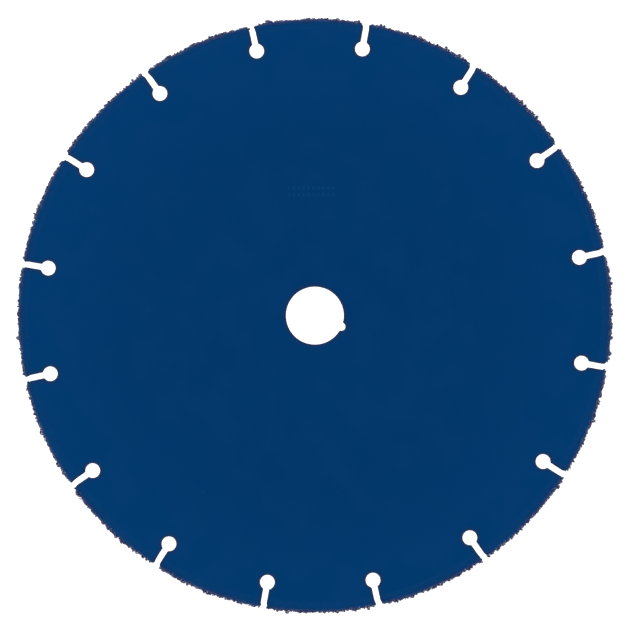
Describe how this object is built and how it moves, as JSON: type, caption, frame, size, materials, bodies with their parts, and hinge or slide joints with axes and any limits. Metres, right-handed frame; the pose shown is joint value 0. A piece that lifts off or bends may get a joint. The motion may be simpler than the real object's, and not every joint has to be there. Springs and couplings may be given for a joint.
{
  "type": "diamond cutting blade",
  "caption": "Slotted diamond cutting blade: thin painted steel disc with a plain bore, a locating notch, keyhole slots round the rim and diamonds brazed along its edge.",
  "frame": {"origin": "centre of the bore, halfway through the thickness of the steel disc", "axes": "+Z along the spin axis, out of the face that is shown; +X and +Y lie in the disc, with the middle of the first slot 12.4 degrees round from +X"},
  "size_m": [0.2298, 0.2298, 0.0024],
  "materials": {
    "painted_steel": "smooth satin navy blue lacquer over ground steel",
    "braze": "lumpy nickel braze under a thin coat of the same navy lacquer, worn dark along the cutting edge",
    "diamond": "dark, dull industrial diamond grit with traces of navy lacquer"
  },
  "bodies": {
    "root": {"steel_core": "painted_steel", "braze_bed_01": "braze", "braze_bed_02": "braze", "braze_bed_03": "braze", "braze_bed_04": "braze", "braze_bed_05": "braze", "braze_bed_06": "braze", "braze_bed_07": "braze", "braze_bed_08": "braze", "braze_bed_09": "braze", "braze_bed_10": "braze", "braze_bed_11": "braze", "braze_bed_12": "braze", "braze_bed_13": "braze", "braze_bed_14": "braze", "braze_bed_15": "braze", "braze_bed_16": "braze", "diamond_grit_01": "diamond", "diamond_grit_02": "diamond", "diamond_grit_03": "diamond", "diamond_grit_04": "diamond", "diamond_grit_05": "diamond", "diamond_grit_06": "diamond", "diamond_grit_07": "diamond", "diamond_grit_08": "diamond", "diamond_grit_09": "diamond", "diamond_grit_10": "diamond", "diamond_grit_11": "diamond", "diamond_grit_12": "diamond", "diamond_grit_13": "diamond", "diamond_grit_14": "diamond", "diamond_grit_15": "diamond", "diamond_grit_16": "diamond"}
  },
  "joints": []
}
